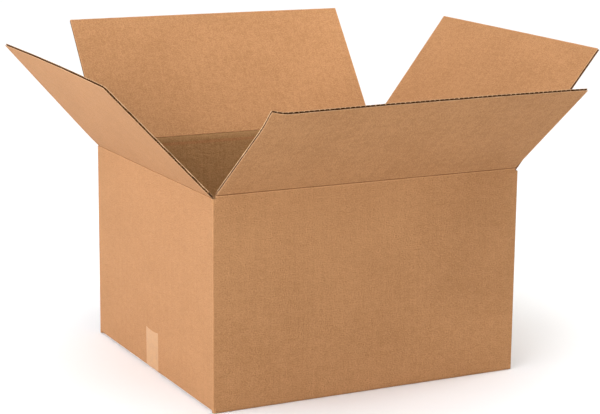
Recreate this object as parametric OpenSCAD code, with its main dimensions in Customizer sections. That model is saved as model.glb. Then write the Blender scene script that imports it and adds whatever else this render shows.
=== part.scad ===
// Regular slotted shipping box of single-wall corrugated board, standing on its
// taped bottom with the four top flaps folded open.
// Frame: origin at the middle of the underside, +Z up, +X along the length,
// +Y towards the back. Millimetres.

/* [Box] */
// Inside length, along X
inner_l = 508; // [300:1:900]
// Inside width, along Y
inner_w = 457.2; // [250:1:800]
// Inside height, between the bottom flaps and the closed top flaps
inner_h = 309; // [150:1:700]
// Width of the slot that parts two neighbouring flaps
slot_w = 10; // [8:0.5:16]
// Outer radius of the upright corner folds
corner_r = 2; // [1:0.5:3]
// Outer radius of the folds along the bottom
bottom_r = 1.5; // [1:0.5:2]

/* [Board] */
// Thickness of the board over both facings
board_t = 3.8; // [3:0.1:5]
// Distance from one flute to the next
flute_pitch = 7.8; // [6:0.1:9]
// Thickness of each facing paper
liner_t = 0.3; // [0.25:0.05:0.5]
// Thickness of the fluted paper
medium_t = 0.25; // [0.2:0.05:0.4]
// Height of the crushed band beside a fold, where the flutes are pressed shut
crush_h = 6; // [5.5:0.5:9]

/* [Top flaps] */
// Outward lean of the front flap from upright, in degrees
lean_front = 51; // [0:0.5:90]
// Outward lean of the back flap from upright, in degrees
lean_back = 36.5; // [0:0.5:90]
// Outward lean of the left flap from upright, in degrees
lean_left = 44.5; // [0:0.5:90]
// Outward lean of the right flap from upright, in degrees
lean_right = 39.5; // [0:0.5:90]
// Half of the gap between the two long flaps where they meet
meet_gap = 0.8; // [0.5:0.1:2]

/* [Glue tab and tape] */
// Width of the glued tab inside the back right corner
tab_w = 35; // [30:1:45]
// Width of the tape along the bottom seam
tape_w = 48; // [40:1:75]
// Height that the tape runs up each end of the box
tape_leg = 67; // [40:1:90]
// Thickness of the tape
tape_t = 0.2; // [0.1:0.05:0.3]

/* [Hidden] */

t = board_t;
L = inner_l + 2 * t;            // over the end walls
W = inner_w + 2 * t;            // over the front and back walls
s = slot_w / 2;                 // from a corner to a flap's side edge
lay = 0.2;                      // free gap between two layers of board
z_major0 = tape_t;              // underside of the two outer bottom flaps
z_minor0 = z_major0 + t + lay;  // underside of the two inner bottom flaps
z_floor = z_minor0 + t;         // inside floor
h_minor = z_floor + inner_h + t;        // fold line of the left and right top flaps
h_major = h_minor + t + lay;            // fold line of the front and back top flaps
flap_len = W / 2 - meet_gap;    // every flap is half the width of the box
groove = 43;                    // slope of each side of the inside groove at a fold
bevel_h = t / tan(groove);      // height of that slope
hinge_gap = 0.2;                // from the fold line to the start of a flap
side_gap = 0.2;                 // a moving flap is this much narrower at each side
z_ring0 = z_floor + 0.5;        // lowest and highest level at which the four walls
z_ring1 = h_minor - 5;          // run round the corners without a break
z_slot = h_minor - 1;           // floor of the four top slots

kraft_out = "#c9935f";
kraft_in = "#bf8d5c";
tape_col = "#dcb184";

// points of a quarter circle about [x, y], from angle a0, in two steps
function arc2(x, y, r, a0) = [for (i = [0:2]) [x + r * cos(a0 + 45 * i), y + r * sin(a0 + 45 * i)]];

// outline of the walls in plan, with folded corners
function round_rect(l, w, r) = concat(
    arc2(l / 2 - r, w / 2 - r, r, 0), arc2(-l / 2 + r, w / 2 - r, r, 90),
    arc2(-l / 2 + r, -w / 2 + r, r, 180), arc2(l / 2 - r, -w / 2 + r, r, 270));

module wall_ring() {
    difference() {
        polygon(round_rect(L, W, corner_r));
        square([L - 2 * t, W - 2 * t], center = true);
    }
}

// one wall's top edge with its grooved fold, and its bottom edge folded under
// into a flap, drawn looking along the wall. x = 0 is the outer face, x grows
// inwards, y is the height
module wall_top(h) {
    polygon([[0, z_ring1 - 1], [t, z_ring1 - 1], [t, h - bevel_h], [0, h]]);
}
module wall_bottom(z0, reach) {
    polygon(concat(
        [[0, z_ring0 + 1]], arc2(bottom_r, z0 + bottom_r, bottom_r, 180),
        [[reach, z0], [reach, z0 + t], [t, z0 + t], [t, z_ring0 + 1]]));
}

// turns a drawing of a wall's section into a strip of length len on one side of
// the box: side 0 is the front, 1 the right end, 2 the back, 3 the left end
module on_side(side, len) {
    half = side % 2 == 0 ? W / 2 : L / 2;
    rotate([0, 0, 90 * side]) translate([-len / 2, -half, 0])
        rotate([90, 0, 90]) linear_extrude(len) children();
}

// the glued tab lies flat inside the right end, beside the back corner
module glue_tab() {
    translate([L / 2 - t + 0.5, 0, 0]) rotate([0, -90, 0]) linear_extrude(t + 0.5)
        polygon([
            [z_ring0 + 6, W / 2 - t + 0.5], [z_ring0 + 18, W / 2 - t - tab_w],
            [z_ring1 - 18, W / 2 - t - tab_w], [z_ring1 - 6, W / 2 - t + 0.5]]);
}

// one folded and glued sheet: the four walls and the four bottom flaps
module box_body() {
    color(kraft_out) {
        translate([0, 0, z_ring0]) linear_extrude(z_ring1 - z_ring0) wall_ring();
        // corners between the slots
        for (z = [[z_minor0, z_ring0 + 1], [z_ring1 - 1, z_slot]])
            translate([0, 0, z[0]]) linear_extrude(z[1] - z[0]) intersection() {
                wall_ring();
                for (i = [-1, 1], j = [-1, 1])
                    translate([i * L / 2, j * W / 2]) square([slot_w, slot_w], center = true);
            }
        // the front and back walls run down to their own lower fold there
        translate([0, 0, z_major0 + 0.8]) linear_extrude(t) intersection() {
            wall_ring();
            for (i = [-1, 1], j = [-1, 1])
                translate([i * L / 2, j * W / 2]) square([slot_w, 2 * t], center = true);
        }
        for (side = [0, 2]) {
            on_side(side, L - slot_w) wall_top(h_major);
            on_side(side, L - slot_w) wall_bottom(z_major0, flap_len);
        }
        for (side = [1, 3]) {
            on_side(side, W - slot_w) wall_top(h_minor);
            on_side(side, W - slot_w) wall_bottom(z_minor0, flap_len);
        }
        glue_tab();
    }
}

// height of the fluted paper's middle line at u, between the two facings
amp = (t - 2 * liner_t - medium_t) / 2;
crest = 0.5;  // half width of the glued crest
// channel between two crests, as seen at the cut edge, above the paper at w = base
// dir = 1 opens towards the outer facing, -1 towards the inner one
function channel(u, base, dir) =
    let (h = t - 2 * liner_t - medium_t, p = flute_pitch)
    [for (q = [[-p / 2 + crest + 0.1, 0], [p / 2 - crest - 0.1, 0],
               [p * 0.30, 0.36 * h], [p * 0.17, 0.80 * h], [p * 0.07, h],
               [-p * 0.07, h], [-p * 0.17, 0.80 * h], [-p * 0.30, 0.36 * h]])
        [u + q[0], base + dir * q[1]]];

// section of the board across the flutes, of width len
module fluted_section(len) {
    n = floor((len - 0.8) / flute_pitch) - 1;
    u0 = -n * flute_pitch / 2;
    holes = [for (i = [0:n]) channel(u0 + i * flute_pitch, liner_t, 1),
             for (i = [0:n - 1]) channel(u0 + (i + 0.5) * flute_pitch, t - liner_t, -1)];
    rect = [[-len / 2, 0], [len / 2, 0], [len / 2, t], [-len / 2, t]];
    pts = concat(rect, [for (h = holes) for (q = h) q]);
    paths = concat([[0, 1, 2, 3]],
        [for (i = [0:len(holes) - 1]) [for (k = [0:7]) 4 + 8 * i + k]]);
    polygon(pts, paths);
}

// a top flap, standing upright on its fold line along X, with its outer face at
// y = 0. The flutes run up it from the crushed band at the fold
module flap(len) {
    translate([0, 0, crush_h]) linear_extrude(flap_len - crush_h) fluted_section(len);
    translate([-len / 2, 0, 0]) rotate([90, 0, 90]) linear_extrude(len)
        polygon([[0, hinge_gap], [t, hinge_gap + bevel_h], [t, crush_h], [0, crush_h]]);
}

module top_flap(side, lean, h, len) {
    half = side % 2 == 0 ? W / 2 : L / 2;
    rotate([0, 0, 90 * side]) translate([0, -half, h]) rotate([lean, 0, 0]) flap(len);
}

module flap_front() { color(kraft_out) top_flap(0, lean_front, h_major, L - slot_w - 2 * side_gap); }
module flap_back() { color(kraft_in) top_flap(2, lean_back, h_major, L - slot_w - 2 * side_gap); }
module flap_left() { color(kraft_out) top_flap(3, lean_left, h_minor, W - slot_w - 2 * side_gap); }
module flap_right() { color(kraft_in) top_flap(1, lean_right, h_minor, W - slot_w - 2 * side_gap); }

// the strip of tape that closes the bottom seam, with a leg up each end of the
// box. It bridges from the end of the outer flaps to the folded edge of the wall
module bottom_tape() {
    a = arc2(L / 2 - bottom_r, z_minor0 + bottom_r, bottom_r, -90);
    inner = [[L / 2 - s, z_major0], a[1], a[2], [L / 2, z_major0 + tape_leg]];
    outer = [[L / 2 - s + tape_t / 2, 0], [a[1][0] + 0.8 * tape_t, a[1][1] - 0.8 * tape_t],
             [L / 2 + tape_t, a[2][1] - 0.4 * tape_t], [L / 2 + tape_t, z_major0 + tape_leg]];
    color(tape_col) translate([0, tape_w / 2, 0]) rotate([90, 0, 0]) linear_extrude(tape_w)
        polygon(concat(
            inner, [for (i = [3:-1:0]) outer[i]],
            [for (i = [0:3]) [-outer[i][0], outer[i][1]]],
            [for (i = [3:-1:0]) [-inner[i][0], inner[i][1]]]));
}

box_body();
flap_front();
flap_back();
flap_left();
flap_right();
bottom_tape();
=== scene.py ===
import math

import bmesh
import bpy
import numpy as np
from mathutils import Matrix, Vector


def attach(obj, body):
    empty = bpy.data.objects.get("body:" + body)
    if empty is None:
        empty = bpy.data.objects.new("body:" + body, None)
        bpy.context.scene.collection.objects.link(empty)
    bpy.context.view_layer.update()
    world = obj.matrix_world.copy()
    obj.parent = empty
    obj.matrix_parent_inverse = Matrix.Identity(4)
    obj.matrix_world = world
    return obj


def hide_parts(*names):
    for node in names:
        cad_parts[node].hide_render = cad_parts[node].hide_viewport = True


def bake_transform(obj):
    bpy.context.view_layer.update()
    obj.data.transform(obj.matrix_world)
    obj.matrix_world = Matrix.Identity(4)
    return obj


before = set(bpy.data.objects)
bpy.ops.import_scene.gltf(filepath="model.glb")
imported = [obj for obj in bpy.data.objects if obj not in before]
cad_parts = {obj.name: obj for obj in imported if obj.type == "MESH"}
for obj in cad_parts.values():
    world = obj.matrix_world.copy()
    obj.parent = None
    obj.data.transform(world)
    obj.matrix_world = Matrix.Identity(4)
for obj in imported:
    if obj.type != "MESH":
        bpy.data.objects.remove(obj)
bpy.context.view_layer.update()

# ---------------------------------------------------------------- sizes (mm)
# The same driving sizes as the construction has.
T = 3.8
LINER = 0.3
MEDIUM = 0.25
PITCH = 7.8
L = 508 + 2 * T
W = 457.2 + 2 * T
SLOT = 10.0
CORNER_R = 2.0
BOTTOM_R = 1.5
Z_MAJOR = 0.2
Z_MINOR = Z_MAJOR + T + 0.2
Z_FLOOR = Z_MINOR + T
H_MINOR = Z_FLOOR + 309 + T
H_MAJOR = H_MINOR + T + 0.2
FLAP = W / 2 - 0.8
Z0 = Z_FLOOR + 0.5
Z1 = H_MINOR - 10
Z_SLOT = H_MINOR - 1
SIDE_GAP = 0.2
TAPE_W, TAPE_LEG = 48.0, 67.0
ZONE = 9.0  # an inside crease reaches this far from its fold
LIP = 2.4  # an outside crease reaches this far

SIDES = ("front", "right", "back", "left")
LEAN = (51.0, 39.5, 36.5, 44.5)
HALF = (W / 2, L / 2, W / 2, L / 2)
RUN = (L, W, L, W)
HEIGHT = (H_MAJOR, H_MINOR, H_MAJOR, H_MINOR)
START = (0.0, (L + W) / 2, L + W, 1.5 * (L + W))  # along the unfolded sheet


def turn(side, x, y, z):
    """A quarter turn about the upright axis for each side, front first."""
    x, y, z = np.broadcast_arrays(x, y, z)
    if side == 0:
        return np.stack([x, y, z], -1)
    if side == 1:
        return np.stack([-y, x, z], -1)
    if side == 2:
        return np.stack([-x, -y, z], -1)
    return np.stack([y, -x, z], -1)


def wobble(x, seed, wave):
    """A smooth wandering value of about -1 to 1, the same in each run."""
    rng = np.random.RandomState(seed)
    total = 0.0
    for k in range(5):
        f = 2 * math.pi / wave * rng.uniform(0.5, 1.9)
        total = total + rng.uniform(0.4, 1.0) * np.sin(f * np.asarray(x) + rng.uniform(0, 6.28))
    return total / 2.2


def lines(a, b, step, fine=(0.0, 0.3, 0.7, 1.2, 1.9, 2.9, 4.4, 7.0, 11.0), ends=(True, True),
          near=(0.0, 0.0)):
    """Grid lines from a to b, close together at the ends that are cut, and at
    a third of the step for the stretches near each end."""
    lo = [a + f for f in fine] if ends[0] else [a]
    hi = [b - f for f in fine][::-1] if ends[1] else [b]
    cuts = [lo[-1], min(a + near[0], hi[0]), max(b - near[1], lo[-1]), hi[0]]
    mid = []
    for i, size in enumerate((step / 3, step, step / 3)):
        if cuts[i + 1] > cuts[i] + 0.3 * size:
            n = max(1, int(round((cuts[i + 1] - cuts[i]) / size)))
            mid += list(np.linspace(cuts[i], cuts[i + 1], n + 1)[1:])
    mid = [x for x in mid if lo[-1] + 0.2 < x < hi[0] - 0.2]
    return np.array(lo + mid + hi)


def ease(x, lo, hi):
    t = np.clip((x - lo) / (hi - lo), 0.0, 1.0)
    return t * t * (3 - 2 * t)


def painted_light_drift(x, v):
    """Painted light and shade on the outer facing of the front panel: paler towards its upper left, where more light
    falls, and darker to the right, where the flap above it is too."""
    front = np.abs(x) <= L / 2
    # painted light towards the upper left, painted shade towards the right
    pale = 0.17 * ease(v, 120, 265) * ease(-x, -170, -20) * (v < H_MAJOR)
    dark = 0.10 * ease(v, 60, 170) * ease(x, 50, 190)
    return np.where(front, pale - dark, 0.0)


# ------------------------------------------------------------- mesh building
class Part:
    """Closed shells gathered into one mesh, each point with its place on the unfolded sheet (along, up, through) and
    how worn it is, together with painted light and shade."""

    def __init__(self):
        self.co, self.sheet, self.wear, self.faces, self.mats, self.n = [], [], [], [], [], 0

    def _add(self, co, sheet, wear, faces, mat):
        self.co.append(np.asarray(co, float).reshape(-1, 3))
        self.sheet.append(np.asarray(sheet, float).reshape(-1, 3))
        self.wear.append(np.broadcast_to(np.asarray(wear, float), (len(self.co[-1]),)).copy())
        for f in faces:
            self.faces.append([i + self.n for i in f])
            self.mats.append(mat)
        self.n += len(self.co[-1])

    def shell(self, a, b, sa, sb, wa=0.0, wb=0.0, mat=0, edge_mat=None, ring=False, mat_b=None):
        """A sheet between two grids of points, closed round its edges."""
        nu, nv = a.shape[:2]
        ids = np.arange(nu * nv).reshape(nu, nv)
        ib = ids + nu * nv
        nxt = np.roll(ids, -1, 0) if ring else ids[1:]
        nxb = np.roll(ib, -1, 0) if ring else ib[1:]
        cur = ids if ring else ids[:-1]
        cub = ib if ring else ib[:-1]

        def quads(p, q, r, s):
            return np.stack([p.ravel(), q.ravel(), r.ravel(), s.ravel()], 1).tolist()

        face = quads(cur[:, :-1], nxt[:, :-1], nxt[:, 1:], cur[:, 1:])
        face_b = quads(cub[:, 1:], nxb[:, 1:], nxb[:, :-1], cub[:, :-1])
        rim = quads(cub[:, 0], nxb[:, 0], nxt[:, 0], cur[:, 0])
        rim += quads(cur[:, -1], nxt[:, -1], nxb[:, -1], cub[:, -1])
        if not ring:
            rim += quads(ids[0, :-1], ids[0, 1:], ib[0, 1:], ib[0, :-1])
            rim += quads(ib[-1, :-1], ib[-1, 1:], ids[-1, 1:], ids[-1, :-1])
        co = np.concatenate([a.reshape(-1, 3), b.reshape(-1, 3)])
        sh = np.concatenate([sa.reshape(-1, 3), sb.reshape(-1, 3)])
        we = np.concatenate([
            np.broadcast_to(wa, (nu, nv)).ravel(), np.broadcast_to(wb, (nu, nv)).ravel()])
        start = self.n
        self._add(co, sh, we, face, mat)
        for f in face_b:
            self.faces.append([i + start for i in f])
            self.mats.append(mat if mat_b is None else mat_b)
        for f in rim:
            self.faces.append([i + start for i in f])
            self.mats.append(mat if edge_mat is None else edge_mat)

    def prism(self, ring, us, place, sheet, mat=0, wear=0.0):
        """A closed outline of (depth, height) swept along a side."""
        n, m = len(us), len(ring)
        ring = np.asarray(ring, float)
        u = np.repeat(us, m)
        d = np.tile(ring[:, 0], n)
        z = np.tile(ring[:, 1], n)
        faces = []
        for i in range(n - 1):
            for j in range(m):
                k = (j + 1) % m
                faces.append([i * m + j, (i + 1) * m + j, (i + 1) * m + k, i * m + k])
        faces.append([j for j in range(m)][::-1])
        faces.append([(n - 1) * m + j for j in range(m)])
        self._add(place(u, d, z), sheet(u, d, z), wear, faces, mat)

    def make(self, name, mats, angle=40, paint_front_light=True):
        me = bpy.data.meshes.new(name)
        me.from_pydata((np.concatenate(self.co) * 0.001).tolist(), [], self.faces)
        a = me.attributes.new("sheet", "FLOAT_VECTOR", "POINT")
        a.data.foreach_set("vector", (np.concatenate(self.sheet) * 0.001).astype(np.float32).ravel())
        sh, wear = np.concatenate(self.sheet), np.concatenate(self.wear)
        # the front panel's painted light and shade go into the outer faces
        if paint_front_light:
            wear = wear + np.where(sh[:, 2] < 15, painted_light_drift(sh[:, 0], sh[:, 1]), 0.0)
        a = me.attributes.new("wear", "FLOAT", "POINT")
        a.data.foreach_set("value", wear.astype(np.float32))
        for m in mats:
            me.materials.append(m)
        me.polygons.foreach_set("material_index", np.array(self.mats, np.int32))
        bm = bmesh.new()
        bm.from_mesh(me)
        bmesh.ops.recalc_face_normals(bm, faces=bm.faces)
        bm.to_mesh(me)
        bm.free()
        me.polygons.foreach_set("use_smooth", np.ones(len(me.polygons), bool))
        me.set_sharp_from_angle(angle=math.radians(angle))
        me.update()
        ob = bpy.data.objects.new(name, me)
        bpy.context.scene.collection.objects.link(ob)
        return ob


def sheet_of(side, u, v, w):
    """Place on the unfolded sheet. The third number keeps the two faces of the
    board from showing one pattern."""
    u, v, w = np.broadcast_arrays(u, v, w)
    return np.stack([START[side] + u, v, 25.0 * w], -1)


# ------------------------------------------------------------------ materials
def node(nt, kind, **values):
    n = nt.nodes.new(kind)
    for k, v in values.items():
        setattr(n, k, v)
    return n


def math_node(nt, op, a, b=None, c=None, clamp=False):
    n = node(nt, "ShaderNodeMath", operation=op, use_clamp=clamp)
    for i, x in enumerate((a, b, c)):
        if x is None:
            continue
        if isinstance(x, (int, float)):
            n.inputs[i].default_value = x
        else:
            nt.links.new(x, n.inputs[i])
    return n.outputs[0]


def noise(nt, vec, scale, detail=2.0, rough=0.5, at=(0, 0, 0)):
    """Noise on the sheet, with its own number of cells a metre each way."""
    m = node(nt, "ShaderNodeMapping")
    m.inputs["Scale"].default_value = scale
    m.inputs["Location"].default_value = at
    nt.links.new(vec, m.inputs["Vector"])
    n = node(nt, "ShaderNodeTexNoise", noise_dimensions="3D")
    n.inputs["Scale"].default_value = 1.0
    n.inputs["Detail"].default_value = detail
    n.inputs["Roughness"].default_value = rough
    nt.links.new(m.outputs[0], n.inputs["Vector"])
    return n.outputs[0]


def span(nt, x, lo, hi, to_lo=0.0, to_hi=1.0):
    n = node(nt, "ShaderNodeMapRange", clamp=True)
    nt.links.new(x, n.inputs["Value"])
    for k, v in (("From Min", lo), ("From Max", hi), ("To Min", to_lo), ("To Max", to_hi)):
        n.inputs[k].default_value = v
    return n.outputs[0]


def mix(nt, fac, a, b, how="MIX"):
    n = node(nt, "ShaderNodeMix", data_type="RGBA", blend_type=how)
    for sock, x in ((n.inputs[0], fac), (n.inputs[6], a), (n.inputs[7], b)):
        if isinstance(x, (int, float)):
            sock.default_value = x
        elif isinstance(x, (tuple, list)):
            sock.default_value = (*x, 1.0) if len(x) == 3 else x
        else:
            nt.links.new(x, sock)
    return n.outputs[2]


def scaled(c, k):
    return tuple(min(1.0, x * y) for x, y in zip(c, k))


def kraft(name, base, contrast=1.0, rough=0.86, bump=1.0, flutes=1.0, core=False):
    """Unbleached paper: fibres along the sheet, cloudy formation, a few dark
    and pale flecks, and the flutes showing faintly through the facing."""
    m = bpy.data.materials.new(name)
    m.use_nodes = True
    nt = m.node_tree
    bsdf = nt.nodes["Principled BSDF"]
    sheet = node(nt, "ShaderNodeAttribute", attribute_name="sheet").outputs["Vector"]
    wear = node(nt, "ShaderNodeAttribute", attribute_name="wear").outputs["Fac"]
    fibre = noise(nt, sheet, (330, 410, 40), 5.0, 0.66)
    grit = noise(nt, sheet, (600, 690, 50), 1.0, 0.5, (6.3, 2.9, 7.1))
    cloud = noise(nt, sheet, (90, 120, 9), 3.0, 0.55, (3.1, 7.7, 1.3))
    broad = noise(nt, sheet, (11, 14, 2), 2.0, 0.5, (9.2, 1.4, 5.0))
    streak = noise(nt, sheet, (240, 9, 2), 2.0, 0.55, (1.7, 4.2, 8.8))
    speck = noise(nt, sheet, (620, 980, 80), 2.0, 0.5, (5.5, 2.2, 0.4))
    hair = noise(nt, sheet, (160, 1500, 60), 2.0, 0.5, (0.9, 6.1, 3.3))

    sep = node(nt, "ShaderNodeSeparateXYZ")
    nt.links.new(sheet, sep.inputs[0])
    drift = math_node(nt, "MULTIPLY", math_node(nt, "SUBTRACT", broad, 0.5), 3.0)
    turns = math_node(nt, "MULTIPLY_ADD", sep.outputs[0], 2 * math.pi / (PITCH * 0.001), drift)
    wave = math_node(nt, "SINE", turns)

    f = math_node(nt, "MULTIPLY_ADD", math_node(nt, "SUBTRACT", fibre, 0.5), 1.9 * contrast, 0.5)
    f = math_node(nt, "MULTIPLY_ADD", math_node(nt, "SUBTRACT", grit, 0.5), 1.9 * contrast, f)
    f = math_node(nt, "MULTIPLY_ADD", math_node(nt, "SUBTRACT", cloud, 0.5), 0.85 * contrast, f)
    f = math_node(nt, "MULTIPLY_ADD", math_node(nt, "SUBTRACT", broad, 0.5), 0.50 * contrast, f)
    f = math_node(nt, "MULTIPLY_ADD", math_node(nt, "SUBTRACT", streak, 0.5), 0.38 * contrast, f)
    f = math_node(nt, "MULTIPLY_ADD", wave, 0.016 * flutes, f, clamp=True)
    col = mix(nt, f, scaled(base, (0.845, 0.816, 0.772)), scaled(base, (1.145, 1.174, 1.218)))
    col = mix(nt, span(nt, speck, 0.66, 0.78, 0.0, 0.42), col, scaled(base, (0.62, 0.55, 0.5)))
    col = mix(nt, span(nt, hair, 0.70, 0.82, 0.0, 0.35), col, scaled(base, (1.3, 1.36, 1.42)))
    # above zero the attribute pales the paper: real wear and torn fibres, and painted highlights and painted light;
    # below zero it darkens it with painted shade
    col = mix(nt, span(nt, wear, 0.0, 1.0, 0.0, 0.9), col, scaled(base, (1.42, 1.52, 1.64)))
    col = mix(nt, span(nt, wear, 0.0, -1.0, 0.0, 0.8), col, scaled(base, (0.45, 0.37, 0.31)))
    nt.links.new(col, bsdf.inputs["Base Color"])

    r = math_node(nt, "MULTIPLY_ADD", math_node(nt, "SUBTRACT", fibre, 0.5), 0.22, rough, clamp=True)
    nt.links.new(r, bsdf.inputs["Roughness"])
    bsdf.inputs["Specular IOR Level"].default_value = 0.22 if not core else 0.1

    hgt = math_node(nt, "MULTIPLY_ADD", cloud, 0.8, fibre)
    hgt = math_node(nt, "MULTIPLY_ADD", grit, 0.6, hgt)
    hgt = math_node(nt, "MULTIPLY_ADD", wave, 0.02 * flutes, hgt)
    b = node(nt, "ShaderNodeBump")
    b.inputs["Strength"].default_value = min(1.0, 0.9 * bump)
    b.inputs["Distance"].default_value = 0.0019
    nt.links.new(hgt, b.inputs["Height"])
    nt.links.new(b.outputs[0], bsdf.inputs["Normal"])
    return m


def tape_film(name, base):
    """Thin pressure tape: a smooth film with fine lengthwise lines and small bubbles."""
    m = bpy.data.materials.new(name)
    m.use_nodes = True
    nt = m.node_tree
    bsdf = nt.nodes["Principled BSDF"]
    sheet = node(nt, "ShaderNodeAttribute", attribute_name="sheet").outputs["Vector"]
    wear = node(nt, "ShaderNodeAttribute", attribute_name="wear").outputs["Fac"]
    fine = noise(nt, sheet, (900, 40, 20), 3.0, 0.6)
    cloud = noise(nt, sheet, (110, 90, 9), 3.0, 0.55, (2.0, 3.0, 1.0))
    fibre = noise(nt, sheet, (380, 600, 30), 4.0, 0.6, (4.0, 1.0, 2.0))
    f = math_node(nt, "MULTIPLY_ADD", math_node(nt, "SUBTRACT", cloud, 0.5), 1.6, 0.5)
    f = math_node(nt, "MULTIPLY_ADD", math_node(nt, "SUBTRACT", fibre, 0.5), 1.5, f)
    f = math_node(nt, "MULTIPLY_ADD", math_node(nt, "SUBTRACT", fine, 0.5), 0.5, f, clamp=True)
    col = mix(nt, f, scaled(base, (0.84, 0.82, 0.79)), scaled(base, (1.14, 1.16, 1.19)))
    col = mix(nt, span(nt, wear, 0.0, 1.0, 0.0, 0.6), col, scaled(base, (1.16, 1.2, 1.26)))
    nt.links.new(col, bsdf.inputs["Base Color"])
    r = math_node(nt, "MULTIPLY_ADD", cloud, 0.3, 0.2, clamp=True)
    nt.links.new(r, bsdf.inputs["Roughness"])
    bsdf.inputs["Specular IOR Level"].default_value = 0.5
    bsdf.inputs["IOR"].default_value = 1.47
    b = node(nt, "ShaderNodeBump")
    b.inputs["Strength"].default_value = 0.35
    b.inputs["Distance"].default_value = 0.0001
    nt.links.new(math_node(nt, "MULTIPLY_ADD", cloud, 1.5, fine), b.inputs["Height"])
    nt.links.new(b.outputs[0], bsdf.inputs["Normal"])
    return m


KRAFT = (0.432, 0.218, 0.0925)
m_out = kraft("kraft_facing", KRAFT, contrast=1.13)
# a calmer copy for the left end: its weaker mottle is painted light, the smoother look where light falls square on
m_end = kraft("kraft_end_facing", scaled(KRAFT, (0.97, 0.97, 1.01)), contrast=0.78, bump=0.85)
m_flap = kraft("kraft_flap_facing", KRAFT, contrast=1.75)
m_in = kraft("kraft_inside", scaled(KRAFT, (0.985, 0.99, 1.02)), contrast=1.3, flutes=1.4)
m_wall = kraft("kraft_wall_inside", scaled(KRAFT, (0.95, 1.075, 1.075)), contrast=1.6, flutes=2.0)
# the fluting paper is the facings' own paper: its dark colour is painted shade for the shadow down in the flutes
m_shaded_core = kraft("fluting_paper_painted_shade", scaled(KRAFT, (0.30, 0.20, 0.105)), contrast=1.3, rough=0.92, core=True, flutes=0.0)
m_cut = kraft("cut_paper_edge", scaled(KRAFT, (1.38, 1.70, 2.20)), contrast=1.5, rough=0.95, core=True, flutes=0.0)
m_rim = kraft("fluting_paper_edge", scaled(KRAFT, (0.90, 0.80, 0.66)), contrast=1.5, rough=0.95, core=True, flutes=0.0)
m_tape = tape_film("tape_film", (0.468, 0.252, 0.1085))
BOARD = [m_out, m_in, m_shaded_core, m_cut, m_rim]
LONG_BOARD = [m_flap, m_in, m_shaded_core, m_cut, m_rim]
END_BOARD = [m_end, m_in, m_shaded_core, m_cut, m_rim]
BODY_BOARD = [m_out, m_wall, m_shaded_core, m_cut, m_rim, m_wall, m_end]
OUT, IN, SHADED_CORE, CUT, RIM, WALL, END = range(7)


# -------------------------------------------------------------- fluted board
def core_room(v, taper):
    """The middle and swing of the fluted paper at height v. Beside a scored
    fold it is pressed flat."""
    if taper:
        top = np.interp(v, (0.45, 4.2, 6.8, ZONE), (0.62, 1.6, 2.3, T - LINER))
    else:
        top = np.full(np.shape(v), T - LINER)
    return (LINER + top) / 2, np.maximum(0.02, (top - LINER - MEDIUM) / 2)


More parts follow.
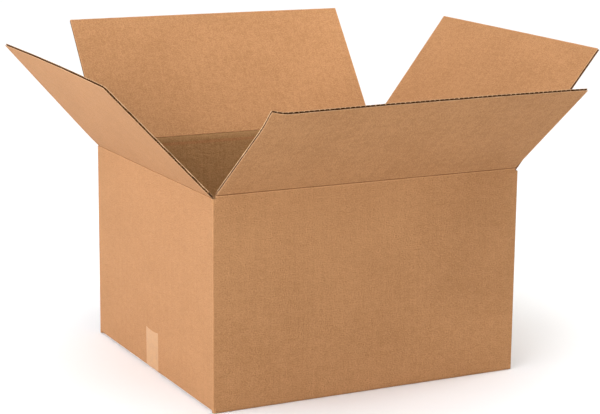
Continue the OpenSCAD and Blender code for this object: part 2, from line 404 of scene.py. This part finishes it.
def board(part, side, u0, u1, v0_out, v0_in, v0_core, v1, place, sheet, warp, seed,
          taper=True, cut_u=(True, True), step=14.0, crush=0.22, near=(0.0, 0.0, 0.0),
          burrs=((0.25, 0.45), (0.25, 0.45)), tuft=0.0):
    """Two facings with the wavy paper between them. u runs across the flutes,
    v along them, w from the outer face to the inner one. At the top cut the
    paper is frayed by tuft where it meets the inner facing."""

    def to_edge(u):
        d = np.full(np.shape(u), 99.0)
        if cut_u[0]:
            d = np.minimum(d, u - u0)
        if cut_u[1]:
            d = np.minimum(d, u1 - u)
        return np.maximum(d, 0.0)

    def curl(u, v, s):
        """How far a facing is pressed in along its cut edges."""
        amount = crush * (0.8 + 0.6 * wobble(v, s, 23.0))
        tip = 0.12 * (1 + 0.6 * wobble(u, s + 5, 11.0))
        return amount * np.exp(-(to_edge(u) / 1.15) ** 1.6) + tip * np.exp(-((v1 - v) / 0.7) ** 2)

    def burr(u, v, s, face):
        """The knife leaves a facing's edge fuzzy and a little thicker."""
        size = np.where(u < (u0 + u1) / 2, burrs[0][face], burrs[1][face])
        along = size * np.clip(0.95 + 0.75 * wobble(v, s, 8.0), 0.1, 1.6) * np.exp(-(to_edge(u) / 0.8) ** 2)
        end = (0.08 + 0.08 * wobble(u, s + 1, 5.0)) * np.exp(-((v1 - v) / 0.8) ** 2)
        return np.maximum(along + end, 0.0)

    # paler along the cut edges: torn pale fibres, and a painted highlight along each edge
    def edge_wear(u, v, s):
        along = (0.85 + 0.22 * wobble(v, s, 17.0)) * np.exp(-(to_edge(u) / 1.0) ** 2)
        end = (0.60 + 0.30 * wobble(u, s + 1, 15.0)) * np.exp(-((v1 - v) / 0.85) ** 2)
        return np.maximum(along, end)

    us = lines(u0, u1, step, ends=cut_u, near=near[:2])
    for w_out, w_in, v0, sign, mat in (
        (0.0, LINER, v0_out, 1.0, OUT), (T, T - LINER, v0_in, -1.0, IN)):
        vs = lines(v0, v1, step, ends=(False, True), near=(0.0, near[2]))
        if taper and v0 < 12:
            vs = np.unique(np.concatenate([[v0, v0 + 1.2, v0 + 3, v0 + 6], vs[vs > v0 + 8]]))
        u, v = np.meshgrid(us, vs, indexing="ij")
        rag = 0.07 * wobble(u, seed + 3, 3.1) * (v > v1 - 0.01)
        nick_lo = 0.08 * wobble(v, seed + 4, 4.0) * (u < u0 + 0.01)
        nick_hi = 0.08 * wobble(v, seed + 6, 4.0) * (u > u1 - 0.01)
        c = sign * curl(u, v, seed + (11 if sign > 0 else 17)) + warp(u, v)
        thick = sign * burr(u, v, seed + (13 if sign > 0 else 19), 0 if sign > 0 else 1)
        uu, vv = u + nick_lo + nick_hi, v + rag
        wr = edge_wear(u, v, seed + (23 if sign > 0 else 29))
        # a facing's face towards the flutes takes the dark core colour, painted shade
        part.shell(place(uu, vv, w_out + c), place(uu, vv, w_in + c + thick),
                   sheet(u, v, w_out), sheet(u, v, w_in), wr, wr, mat, CUT, mat_b=SHADED_CORE)

    amp_u = 2 * math.pi / PITCH
    lean = 0.004

    def medium(us, vs, cut=None):
        """cut is the side edge that a strip runs along: there the paper is torn
        back a little and pressed towards one facing."""
        u, v = np.meshgrid(us, vs, indexing="ij")
        mid, amp = core_room(v, taper)
        phase = amp_u * (u + lean * v) + seed
        w, slope, uu = mid + amp * np.sin(phase), amp * amp_u * np.cos(phase), u
        if cut is not None:
            edge, s = cut
            inner = us[-1] if edge < us[-1] and edge <= us[0] else us[0]
            e = np.exp(-(np.abs(u - edge) / 1.7) ** 2)
            lay = np.clip(0.30 + 0.62 * wobble(v, s, 8.0) + 0.30 * wobble(v, s + 1, 3.4), -0.75, 0.80)
            w = w * (1 - e) + (mid + amp * lay) * e
            slope = slope * (1 - e)
            back = 1.5 + 0.9 * wobble(v, s + 2, 6.0)
            full = np.abs(inner - edge)
            uu = inner + (u - inner) * (full - np.clip(back, 0.25, 2.2)) / (full - 0.12)
        nrm = np.sqrt(1 + slope ** 2)
        du, dw = -slope / nrm * MEDIUM / 2, 1 / nrm * MEDIUM / 2
        ragged = -0.45 - 0.35 * wobble(u, seed + 8, 5.3)
        vv = v + np.where(v > v1 - 0.01, ragged, 0.0)
        c = warp(u, v)
        fray = 0.0 * u
        if cut is None and tuft:
            fray = np.where(v > v1 - 1.3, tuft * np.clip((np.sin(phase) - 0.55) / 0.35, 0, 1)
                            * np.clip(1 + 0.6 * wobble(u, seed + 9, 31.0), 0.2, 1.8), 0.0)
        first = len(part.faces)
        # the fluting paper is drawn in the dark core colour: painted shade inside the flutes
        part.shell(place(uu + du, vv, w + dw + c), place(uu - du, vv, w - dw - fray + c),
                   sheet(u, v, w + 9.0), sheet(u, v, w + 8.0), 0.0, 0.0, SHADED_CORE, RIM)
        # torn pale fibres: in dashes down a side cut, and at the crest of each flute
        nu, nv = len(us) - 1, len(vs) - 1
        um, vm = (us[:-1] + us[1:]) / 2, (vs[:-1] + vs[1:]) / 2
        if cut is not None:
            pale = (np.abs(um - edge) < 1.5)[:, None] & (wobble(vm, s + 3, 5.0) > 0.2)[None, :]
        else:
            crest = np.sin(amp_u * (um[:, None] + lean * vm[None, :]) + seed) > 0.62
            pale = crest & (vm > v1 - 1.3)[None, :] & bool(tuft)
            # the cut line itself is the second run of faces round the rim
            for i in range(nu):
                part.mats[first + 2 * nu * nv + nu + i] = CUT if tuft and crest[i, -1] else SHADED_CORE
        for i in np.flatnonzero(np.concatenate([pale.ravel(), pale.ravel()])):
            part.mats[first + i] = CUT if cut is None else RIM

    rim = 4.0
    lo = u0 + (rim if cut_u[0] else 0.1)
    hi = u1 - (rim if cut_u[1] else 0.1)
    n = int(round((hi - lo) / PITCH * 14))
    if taper:
        vs = lines(ZONE, v1, 26.0, ends=(False, False), near=(0.0, near[2]))
        vs = np.unique(np.concatenate([[v0_core, 2.6, 4.2, 5.6, 6.8], vs[:-1], [v1 - 4, v1 - 1.25, v1]]))
        fine = np.unique(np.concatenate([vs[vs <= ZONE], np.arange(ZONE, v1, 1.6), [v1]]))
    else:
        vs = np.array([v0_core, v1])
        fine = np.unique(np.concatenate([np.arange(v0_core, v1, 2.0), [v1]]))
    medium(np.linspace(lo, hi, n + 1), vs)
    if cut_u[0]:
        medium(np.linspace(u0 + 0.12, lo, 9), fine, (u0, seed + 31))
    if cut_u[1]:
        medium(np.linspace(hi, u1 - 0.12, 9), fine, (u1, seed + 41))


# ------------------------------------------------------------------ top flaps
def flap_warp(side):
    half = (RUN[side] - SLOT) / 2 - SIDE_GAP

    def near(x, r, p=2.0):
        return np.exp(-(np.maximum(x, 0) / r) ** p)

    def warp(u, v):
        """The long flaps only bend outwards from their plane and the short ones
        only inwards, so they still lie over each other when they are closed."""
        up = np.clip((v - ZONE) / (FLAP - ZONE), 0, 1)
        up = up * up * 1.08 / (up + 0.08)
        x = np.clip(u / half, -1, 1)
        if side == 0:
            plane = -np.interp(x, (-1.0, -0.85, -0.3, 0.3, 0.9, 1.0), (3.9, 3.9, 1.5, 0.3, 0.0, 0.4)) * up
            corner = 4.0 * near(u + half, 11) * near(FLAP - v, 26)
            return plane + corner
        if side == 3:
            return (8.0 - 4.2 * x - 1.8 * x * x) * up
        if side == 2:
            return -(0.8 + 0.8 * x * x) * up ** 2
        return (3.6 + 3.6 * x) * up + 0.5 * up * (1 - x * x)

    return warp


def flap_place(side):
    a = math.radians(LEAN[side])
    ca, sa = math.cos(a), math.sin(a)

    def place(u, v, w):
        return turn(side, u, -HALF[side] + w * ca - v * sa, HEIGHT[side] + w * sa + v * ca)

    return place


flaps = {}
for k, name in enumerate(SIDES):
    p = Part()
    half = (RUN[k] - SLOT) / 2 - SIDE_GAP
    board(p, k, -half, half, LIP, ZONE, 1.2, FLAP, flap_place(k),
          lambda u, v, w, k=k: sheet_of(k, u, HEIGHT[k] + v, w), flap_warp(k), 3 + 7 * k,
          near=((60.0, 30.0, 60.0), (0.0, 0.0, 0.0), (0.0, 0.0, 0.0), (0.0, 40.0, 40.0))[k],
          crush=(0.06, 0.06, 0.06, 0.06)[k], tuft=(0.7, 0.5, 0.5, 0.2)[k],
          burrs=(((0.12, 0.60), (0.25, 0.45)), ((0.05, 0.15), (0.15, 0.6)),
                 ((0.25, 0.45), (0.05, 0.05)), ((0.25, 0.45), (0.0, 0.50)))[k])
    ob = p.make(name + "_flap_board", (LONG_BOARD, BOARD, LONG_BOARD, END_BOARD)[k])
    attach(ob, name + "_flap")
    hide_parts("flap_" + name)
    flaps[name] = ob


# ------------------------------------------------------------ scored creases
def section(side, u, a, b):
    """a is the depth in from the wall's outer face, b the height over the fold."""
    return turn(side, u, -HALF[side] + a, HEIGHT[side] + b)


def tilt(a, b, lean):
    c, s = math.cos(lean), math.sin(lean)
    return a * c - b * s, a * s + b * c


def offset(path, d):
    """The same path moved sideways by d, to its left."""
    path = np.asarray(path, float)
    t = np.gradient(path, axis=0)
    n = np.stack([-t[:, 1], t[:, 0]], 1)
    n /= np.linalg.norm(n, axis=1, keepdims=True)
    return path + d * n


def crease_strip(name, side, path, along, back, wear_of, mat, ridge=None):
    """A thin closed strip of facing across a fold. path is the seen surface, back the hidden one, along the height on
    the unfolded sheet of each point; the function after back gives the painted shade and painted light across the
    fold."""
    half = (RUN[side] - SLOT) / 2 - SIDE_GAP
    us = lines(-half, half, 6.0)
    p = Part()
    path, back = np.asarray(path), np.asarray(back)
    u = us[:, None] + 0 * path[None, :, 0]
    k = np.ones_like(u) if ridge is None else ridge(u)
    base = path if ridge is None else np.asarray(ridge.flat)
    a = base[None, :, 0] + k * (path - base)[None, :, 0] if ridge is not None else path[None, :, 0] + 0 * u
    b = base[None, :, 1] + k * (path - base)[None, :, 1] if ridge is not None else path[None, :, 1] + 0 * u
    along = np.asarray(along)[None, :] + 0 * u
    wear = wear_of(u, along)
    seen = section(side, u, a, b)
    hid = section(side, u, back[None, :, 0] + 0 * u, back[None, :, 1] + 0 * u)
    w = 0.0 if mat == OUT else T
    p.shell(seen, hid, sheet_of(side, u, HEIGHT[side] + along, w),
            sheet_of(side, u, HEIGHT[side] + along, w + 0.5), wear, wear, mat, CUT)
    if mat == IN:
        # below the fold it is the wall's paper
        nv = along.shape[1] - 1
        low = (along[0, :-1] + along[0, 1:]) / 2 < 0
        for i in range((len(us) - 1) * nv):
            if low[i % nv]:
                p.mats[i] = WALL
    ob = p.make(name, (END_BOARD if side == 3 else BOARD) + [m_wall], angle=50)
    return ob


for k, name in enumerate(SIDES):
    lean = math.radians(LEAN[k])
    # inside: up the wall, round the fold, along the flap
    R = 1.6
    reach = T * math.tan(lean / 2)
    cut = R * math.tan(lean / 2)
    pts = [(T, b) for b in np.linspace(-ZONE, reach - cut, 13)]
    c0 = np.array([T - R, reach - cut])
    n_arc = 9
    pts += [tuple(c0 + R * np.array([math.cos(x), math.sin(x)]))
            for x in np.linspace(0, lean, n_arc + 1)[1:]]
    top0 = np.array(pts[-1])
    top1 = np.array(tilt(T, ZONE, lean))
    pts += [tuple(top0 + (top1 - top0) * x) for x in np.linspace(0, 1, 13)[1:]]
    pts = np.array(pts)
    s = np.concatenate([[0], np.cumsum(np.linalg.norm(np.diff(pts, axis=0), axis=1))])
    along = s / s[-1] * 2 * ZONE - ZONE
    back = offset(pts, LINER)
    back[0], back[-1] = (T - LINER, -ZONE), tilt(T - LINER, ZONE, lean)
    # inside: a painted dark line of shade along the fold, and below it a painted pale band of light fading down the
    # wall
    ob = crease_strip(
        name + "_crease_inside", k, pts, along, back,
        lambda u, v, k=k: -0.85 * np.exp(-((v - 0.1) / 0.55) ** 2) * (1 + 0.25 * wobble(u, 90 + k, 40.0))
        + (0.6, 0.6, 0.85, 0.6)[k] * np.clip((-v - 0.4) / 0.5, 0, 1) * np.clip(1 + (v + 0.8) / 8.2, 0, 1) ** 1.3, IN)
    tuple(section(k, 0.0, T, -ZONE) * 0.001)
    tuple(section(k, 0.0, *tilt(T, ZONE, lean)) * 0.001)
    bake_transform(ob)

    # outside: a low ridge under the fold, the pressed line, and the flap's side
    wall = [(-LIP, 0.0), (-2.05, -0.12), (-1.7, -0.33), (-1.35, -0.45), (-1.0, -0.40),
            (-0.72, -0.14), (-0.48, 0.30), (-0.16, 0.62)]
    over = [(0.12, 0.60), (0.42, 0.32), (0.68, 0.08), (0.98, 0.0), (1.5, 0.0), (LIP, 0.0)]
    pts = [(d, z) for z, d in wall] + [tilt(d, z, lean) for z, d in over]
    flat = [(max(d, 0.0) if z < -0.7 else d, z) for z, d in wall] + [tilt(d, z, lean) for z, d in over]
    along = [z for z, _ in wall] + [z for z, _ in over]
    back = [(LINER + max(0.0, d), z) for z, d in wall]
    back += [tilt(LINER + max(0.0, d), z, lean) for z, d in over]

    def ridge(u, k=k):
        strong = 0.55 + 0.45 * wobble(u, 70 + k, 120.0) + 0.25 * wobble(u, 80 + k, 17.0)
        if k == 0:
            strong = strong + 0.6 * np.exp(-((u + 235) / 70) ** 2)
        return np.clip(strong, 0.15, 1.35)

    ridge.flat = flat
    # outside: a painted dark line of shade in the pressed valley, and a painted highlight on the low ridge just under
    # it
    ob = crease_strip(
        name + "_crease_outside", k, pts, along, back,
        lambda u, v, k=k: np.where(
            np.abs(v) < 0.6, -(1.0, 0.7, 0.7, 0.32)[k] * np.exp(-(v / 0.5) ** 2),
            (0.75, 0.4, 0.4, 0.3)[k] * (1 + 0.4 * wobble(u, 130 + k, 30.0)) * np.exp(-((v + 1.35) / 0.55) ** 2)),
        OUT, ridge)
    tuple(section(k, 0.0, 0.0, -LIP) * 0.001)
    tuple(section(k, 0.0, *tilt(0.0, LIP, lean)) * 0.001)
    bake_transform(ob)


# ----------------------------------------------------------------- box body
carton = Part()


def wall_bow(side, u, z, inner):
    """The panels aren't quite flat: they belly out a little between corners."""
    run = RUN[side]
    x = np.clip(u / (run - 2 * CORNER_R) + 0.5, 0, 1)
    y = np.clip((z - Z0) / (Z1 - Z0), 0, 1)
    fade = np.sin(math.pi * x) * np.sin(math.pi * y)
    amount = (0.7, 0.5, 0.6, 0.45)[side]
    ripple = 0.10 * wobble(u, 200 + side, 90.0) + 0.08 * wobble(z, 210 + side, 120.0)
    return (amount + ripple) * fade


def outline(z, depth, corner_r, notch):
    """Once round the box at one depth in the board: points, and places on the
    sheet. Every depth has the same number of points."""
    pts, sh = [], []
    for side in range(4):
        run, half = RUN[side] / 2, HALF[side]
        us = lines(-(run - CORNER_R), run - CORNER_R, 13.0, fine=(0.0, 1.2, 3.0, 8.0))
        us = np.unique(np.concatenate([us, [-(run - SLOT / 2), run - SLOT / 2]]))
        if side == 1:
            us = np.unique(np.concatenate([us, [run - 4.25, run - 4.15, run - 3.6, run - 3.5]]))
        inset = depth + corner_r
        scale = (run - inset) / (run - CORNER_R)
        dent = np.where((us > run - 4.2) & (us < run - 3.55), 0.8, 0.0) if side == 1 and notch else 0.0
        uu = us * np.where(np.abs(us) > run - 40, 1.0, 1.0)
        edge = np.abs(us) > run - inset
        uu = np.where(edge, np.sign(us) * (run - inset), uu)
        # keep the points in order where the inner outline is shorter
        uu = np.where(np.abs(us) > run - 30, np.sign(us) * (
            (run - 30) + (np.abs(us) - (run - 30)) * ((run - inset) - (run - 30)) / ((run - CORNER_R) - (run - 30))), us)
        out = wall_bow(side, us, z, False)
        pts.append(turn(side, uu, -half + depth + dent - out, z + 0 * us))
        sh.append(sheet_of(side, uu, z + 0 * us, depth))
        angles = np.linspace(-90, 0, 8)[1:-1] * math.pi / 180
        cx, cy = run - inset, -half + inset
        pts.append(turn(side, cx + corner_r * np.cos(angles), cy + corner_r * np.sin(angles), z + 0 * angles))
        sh.append(sheet_of(side, run - inset + corner_r * (angles + math.pi / 2), z + 0 * angles, depth))
    return np.concatenate(pts), np.concatenate(sh)


def wall_ring(zs):
    a, sa, b, sb = [], [], [], []
    for z in zs:
        p, s = outline(z, 0.0, CORNER_R, True)
        a.append(p), sa.append(s)
        p, s = outline(z, T, 0.7, False)
        b.append(p), sb.append(s)
    st = lambda x: np.stack(x, 1)
    return st(a), st(b), st(sa), st(sb)


a, b, sa, sb = wall_ring(np.concatenate([[Z0, Z0 + 2], np.linspace(Z0 + 10, Z1 - 10, 22), [Z1 - 2, Z1]]))
flat_a, _ = outline(Z0, 0.0, CORNER_R, False)
# a faint paler line down each upright corner: rubbing, and a painted highlight
corner_wear = np.zeros(len(flat_a))
at_corner = (np.abs(np.abs(flat_a[:, 0]) - L / 2) < 2.6) & (np.abs(np.abs(flat_a[:, 1]) - W / 2) < 2.6)
corner_wear[at_corner] = 0.06
wa = corner_wear[:, None] * (0.75 + 0.35 * wobble(a[0, :, 2], 55, 60.0))[None, :]
# the inner face takes the inside paper
nu, nv = a.shape[:2]
first = len(carton.faces)
carton.shell(a, b, sa, sb, wa, 0.0, OUT, CUT, ring=True)
for i in range(first + nu * (nv - 1), first + 2 * nu * (nv - 1)):
    carton.mats[i] = IN
# and the left end's outer face takes a calmer copy of the facing, whose weaker mottle is painted light: the smoother
# look of a face the light falls square on
for i in range(nu):
    if (a[i, 0, 0] + a[(i + 1) % nu, 0, 0]) / 2 < 1.0 - L / 2:
        for j in range(nv - 1):
            carton.mats[first + i * (nv - 1) + j] = END


def corner_post(corner, w0, r0, w1, r1, zs, mats, rough_top=0.0):
    """The folded corner between two slots, from one depth in the board to another."""
    def run_of(z, depth, cr):
        side, nxt = corner, (corner + 1) % 4
        run, half = RUN[side] / 2, HALF[side]
        inset = depth + cr
        us = np.array([run - SLOT / 2, run - 4.25, run - 3.5, run - inset - 1e-6])
        us[1:3] = np.minimum(us[1:3], run - inset - 0.02)
        us[0] = run - SLOT / 2
        p = [turn(side, us, -half + depth, z)]
        s = [sheet_of(side, us, z, depth)]
        ang = np.linspace(-90, 0, 8)[1:-1] * math.pi / 180
        p.append(turn(side, run - inset + cr * np.cos(ang), -half + inset + cr * np.sin(ang), z))
        s.append(sheet_of(side, run - inset + cr * (ang + math.pi / 2), z, depth))
        run2, half2 = RUN[nxt] / 2, HALF[nxt]
        us = -us + run - run2
        us = np.array([-(run2 - inset) + 1e-6, -(run2 - inset) + 0.3, -(run2 - SLOT / 2) - 0.3, -(run2 - SLOT / 2)])
        p.append(turn(nxt, us, -half2 + depth, z))
        s.append(sheet_of(nxt, us, z, depth))
        return np.concatenate(p), np.concatenate(s)

    a, sa, b, sb = [], [], [], []
    for z in zs:
        p, s = run_of(z, w0, r0)
        a.append(p), sa.append(s)
        p, s = run_of(z, w1, r1)
        b.append(p), sb.append(s)
    st = lambda x: np.stack(x, 1)
    a, b, sa, sb = st(a), st(b), st(sa), st(sb)
    if rough_top:
        lift = rough_top * wobble(np.arange(a.shape[0]) * 3.3 + corner * 20, 300 + corner, 7.0)
        a[:, -1, 2] += lift
        b[:, -1, 2] += lift
    # the face at the first depth is a little paler: rubbing, and a painted highlight at the corner
    carton.shell(a, b, sa, sb, 0.2, 0.0, mats[0], mats[1])


for c in range(4):
    top = [Z1, Z_SLOT - 2.0, Z_SLOT]
    corner_post(c, 0.0, CORNER_R, 0.5, CORNER_R - 0.45, top, (OUT, CUT), 0.15)
    # the middle layer of the corner takes the dark core colour: painted shade
    corner_post(c, 0.5, CORNER_R - 0.45, T - 0.4, 1.0, [Z1, Z_SLOT - 0.9], (SHADED_CORE, SHADED_CORE), 0.25)
    corner_post(c, T - 0.4, 1.0, T, 0.7, [Z1, Z_SLOT - 0.15], (IN, CUT), 0.15)
    low = [Z_MINOR, Z0]
    corner_post(c, 0.0, CORNER_R, T, 0.7, low, (OUT, CUT))

# the front and back walls run down to their own lower fold at the corners
for side in (0, 2):
    run = RUN[side] / 2
    for end in (-1, 1):
        x = np.linspace(0, math.pi / 2, 7)
        u = np.concatenate([[run - SLOT / 2], run - CORNER_R + CORNER_R * np.sin(x), [run, run - SLOT / 2]])
        d = np.concatenate([[0.0], CORNER_R - CORNER_R * np.cos(x), [T, T]])
        m = len(u)
        u, d, z = end * np.tile(u, 2), np.tile(d, 2), np.repeat((Z_MAJOR + 0.8, Z_MINOR + 0.02), m)
        faces = [[j, (j + 1) % m, (j + 1) % m + m, j + m] for j in range(m)]
        faces += [list(range(m))[::-1], list(range(m, 2 * m))]
        # a little paler: rubbing, and a painted highlight at the corner
        carton._add(turn(side, u, -HALF[side] + d, z), sheet_of(side, u, z, d), 0.2, faces, OUT)

for side in range(4):
    h = HEIGHT[side]
    half = (RUN[side] - SLOT) / 2
    place = lambda u, d, z, side=side: turn(side, u, -HALF[side] + d, z)
    sheet = lambda u, d, z, side=side: sheet_of(side, u, z, d)
    us = lines(-half, half, 13.0, fine=(0.0, 1.0, 3.0, 8.0))
    # top of the wall under the fold
    ring = [(0, Z1), (0, h - LIP), (LINER + 0.03, h - LIP), (LINER + 0.03, h - 0.5), (1.6, h - 4.2),
            (2.3, h - 6.8), (T - LINER - 0.03, h - ZONE), (T, h - ZONE), (T, Z1)]
    carton.prism(ring, us, place, sheet, END if side == 3 else OUT)
    # the wall folds under into a bottom flap
    z0 = (Z_MAJOR, Z_MINOR)[side % 2]
    r = BOTTOM_R
    ring = [(0, Z0), (0, z0 + r + 1.0)]
    ring += [(r - r * math.cos(x), z0 + r - r * math.sin(x)) for x in np.linspace(0, math.pi / 2, 7)]
    ring += [(ZONE, z0), (ZONE, z0 + T)]
    gap = min(0.45, Z0 - (z0 + T))
    ring += [(T + gap, z0 + T), (T + 0.3 * gap, z0 + T + 0.3 * gap), (T, z0 + T + gap)]
    if Z0 - (z0 + T + gap) > 0.1:
        ring += [(T, Z0)]
    carton.prism(ring, us, place,
                 lambda u, d, z, side=side, z0=z0: sheet_of(side, u, np.where(d > 4, z0 - d, z), np.where(z > z0 + 2, T, 0.0)),
                 END if side == 3 else OUT)

    # bottom flap
    def place_b(u, v, w, side=side, z0=z0):
        return turn(side, u, -HALF[side] + v, z0 + w)

    def sheet_b(u, v, w, side=side, z0=z0):
        return sheet_of(side, u, z0 - v, w)

    board(carton, side, -half, half, ZONE, ZONE, ZONE, FLAP, place_b, sheet_b,
          lambda u, v: 0.0 * u, 60 + side, taper=False, step=26.0)


# glue tab, flat on the right wall's inner face beside the back corner
def tab_place(u, v, w):
    lo = 6 + 12 * u / 35.0
    hi = Z1 - Z0 - lo + 4
    z = Z0 + lo + (hi - lo) * v / 100.0
    x = L / 2 - T - 0.02 - (T - w) * 0.86
    return np.stack(np.broadcast_arrays(x, W / 2 - T - 0.05 - u, z), -1)


board(carton, 1, 0.0, 35.0, 0.0, 0.0, 0.0, 100.0,
      lambda u, v, w: tab_place(u, v, T - w),
      lambda u, v, w: sheet_of(1, 900 + u, 3.0 * v, w), lambda u, v: 0.0 * u, 77,
      taper=False, cut_u=(False, True), step=20.0, crush=0.9)

body = carton.make("carton_body", BODY_BOARD)
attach(body, "box")
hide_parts("box_body")


# ---------------------------------------------------------------------- tape
def tape():
    x0, zc = L / 2, Z_MINOR + BOTTOM_R
    arc = [(x0 - BOTTOM_R + BOTTOM_R * math.cos(t), zc + BOTTOM_R * math.sin(t))
           for t in np.radians((-50, -30, -12, 0))]
    leg_top = Z_MAJOR + TAPE_LEG
    side = [(x0 - SLOT / 2 - 3, Z_MAJOR), (x0 - SLOT / 2 - 0.3, Z_MAJOR + 0.05), (x0 - SLOT / 2 + 0.5, Z_MAJOR + 0.45)]
    side += arc
    side += [(x0, z) for z in np.linspace(zc + 3, leg_top - 2, 14)] + [(x0, leg_top)]
    side = np.array(side)
    flat = [(x, Z_MAJOR) for x in np.linspace(-(x0 - 12), x0 - 12, 33)]
    path = np.array([(-x, z) for x, z in side[::-1]] + flat + [tuple(q) for q in side])
    s = np.concatenate([[0], np.cumsum(np.linalg.norm(np.diff(path, axis=0), axis=1))])
    out = offset(path, -0.19)
    out[:, 1] = np.maximum(out[:, 1], 0.01)
    ys = np.linspace(-TAPE_W / 2, TAPE_W / 2, 97)
    y, sv = np.meshgrid(ys, s, indexing="ij")
    n = len(s)

    def grid(pth):
        g = np.stack([pth[None, :, 0] + 0 * y, y, pth[None, :, 1] + 0 * y], -1)
        # torn ends: fine teeth on a slightly hollow line
        teeth = 0.45 * np.abs(((ys / 1.5) % 1.0) * 2 - 1)
        hollow = 2.2 * (1 - (ys / (TAPE_W / 2)) ** 2)
        for end, more in ((0, 0.0), (n - 1, 0.6)):
            drop = teeth + hollow + more * wobble(ys, 5 + end, 30.0)
            g[:, end, 2] -= drop
            for inner, share in ((1, 0.6), (2, 0.25)):
                j = end + inner if end == 0 else end - inner
                g[:, j, 2] -= drop * share
        # edges wander a little along the strip
        g[..., 1] += 0.35 * wobble(sv, 7, 160.0)
        for end, sign in ((1, 1.0), (3, -1.0)):
            on = sign * g[..., 0] > x0 - 0.5
            g[..., 0] += np.where(on, sign * wall_bow(end, sign * g[..., 1], g[..., 2], False), 0.0)
        return g

    wear = 0.7 * np.exp(-np.minimum(TAPE_W / 2 - np.abs(y), np.minimum(sv, s[-1] - sv)) / 0.8)
    p = Part()
    sh = np.stack([y + 40, sv, 0 * y], -1)
    sh2 = np.stack([y + 40, sv, 0 * y + 4], -1)
    p.shell(grid(out), grid(path), sh, sh2, wear, 0.0, 0)
    ob = p.make("seam_tape", [m_tape], angle=60, paint_front_light=False)
    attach(ob, "box")
    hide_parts("bottom_tape")


tape()


# --------------------------------------------------------------------- stage
def floor():
    me = bpy.data.meshes.new("studio_floor")
    r = 40.0
    me.from_pydata([(-r, -r, -0.0002), (r, -r, -0.0002), (r, r, -0.0002), (-r, r, -0.0002)], [], [(0, 1, 2, 3)])
    m = bpy.data.materials.new("studio_floor")
    m.use_nodes = True
    bsdf = m.node_tree.nodes["Principled BSDF"]
    bsdf.inputs["Base Color"].default_value = (0.94, 0.97, 1.0, 1)
    bsdf.inputs["Roughness"].default_value = 0.95
    bsdf.inputs["Specular IOR Level"].default_value = 0.1
    me.materials.append(m)
    ob = bpy.data.objects.new("studio_floor", me)
    bpy.context.scene.collection.objects.link(ob)


floor()


def sun(name, towards, strength, angle, colour=(1, 1, 1)):
    """towards is the direction to the light."""
    d = bpy.data.lights.new(name, "SUN")
    d.energy = strength * math.pi
    d.angle = math.radians(angle)
    d.color = colour
    ob = bpy.data.objects.new(name, d)
    ob.rotation_euler = Vector(towards).to_track_quat("Z", "Y").to_euler()
    bpy.context.scene.collection.objects.link(ob)


def softbox(name, at, aim, size, watts, colour=(1, 1, 1)):
    """A round panel of light near the box, hidden from the camera."""
    d = bpy.data.lights.new(name, "AREA")
    d.shape = "DISK"
    d.size = size
    d.energy = watts
    d.color = colour
    ob = bpy.data.objects.new(name, d)
    ob.location = at
    ob.rotation_euler = (Vector(at) - Vector(aim)).to_track_quat("Z", "Y").to_euler()
    ob.visible_camera = False
    bpy.context.scene.collection.objects.link(ob)


world = bpy.data.worlds.new("studio")
bpy.context.scene.world = world
world.use_nodes = True
bg = world.node_tree.nodes["Background"]
bg.inputs["Color"].default_value = (1.0, 1.0, 1.0, 1)
bg.inputs["Strength"].default_value = 0.158

sun("front_left_wash", (-0.6, -0.8, 0.15), 0.655, 40, (1.0, 0.95, 0.935))
sun("left_wash", (-0.8, -0.25, 0.55), 0.43, 40, (1.0, 0.97, 1.0))
sun("top_wash", (0.0, 0.0, 1.0), 0.62, 60, (1.0, 0.985, 0.93))
softbox("left_softbox", (-1.2, -0.1, 0.45), (-0.25, 0.0, 0.2), 0.5, 4.85, (0.86, 0.91, 1.0))
softbox("top_softbox", (0.0, 0.1, 1.5), (0.0, 0.0, 0.3), 0.7, 2.85)
softbox("right_softbox", (0.75, -0.2, 0.8), (0.15, 0.3, 0.42), 0.4, 3.3)

scene = bpy.context.scene
scene.view_settings.view_transform = "Standard"
scene.view_settings.look = "None"
scene.view_settings.exposure = 0.0
scene.view_settings.gamma = 1.0

# -------------------------------------------------------------------- camera
az, el, roll = math.radians(-26.86), math.radians(12.3), math.radians(0.544)
back = Vector((math.sin(az) * math.cos(el), -math.cos(az) * math.cos(el), math.sin(el)))
right = Vector((math.cos(az), math.sin(az), 0.0))
up = back.cross(right)
right, up = right * math.cos(roll) + up * math.sin(roll), up * math.cos(roll) - right * math.sin(roll)
cam = bpy.data.cameras.new("camera")
cam.lens, cam.sensor_width, cam.clip_start, cam.clip_end = 108.57, 36.0, 0.05, 200.0
cam_ob = bpy.data.objects.new("camera", cam)
reach = 2.9
cam_ob.matrix_world = Matrix((
    (right.x, up.x, back.x, -0.0015 + reach * back.x),
    (right.y, up.y, back.y, reach * back.y),
    (right.z, up.z, back.z, 0.2396 + reach * back.z),
    (0, 0, 0, 1)))
bpy.context.scene.collection.objects.link(cam_ob)
bpy.context.scene.camera = cam_ob

bpy.context.view_layer.update()
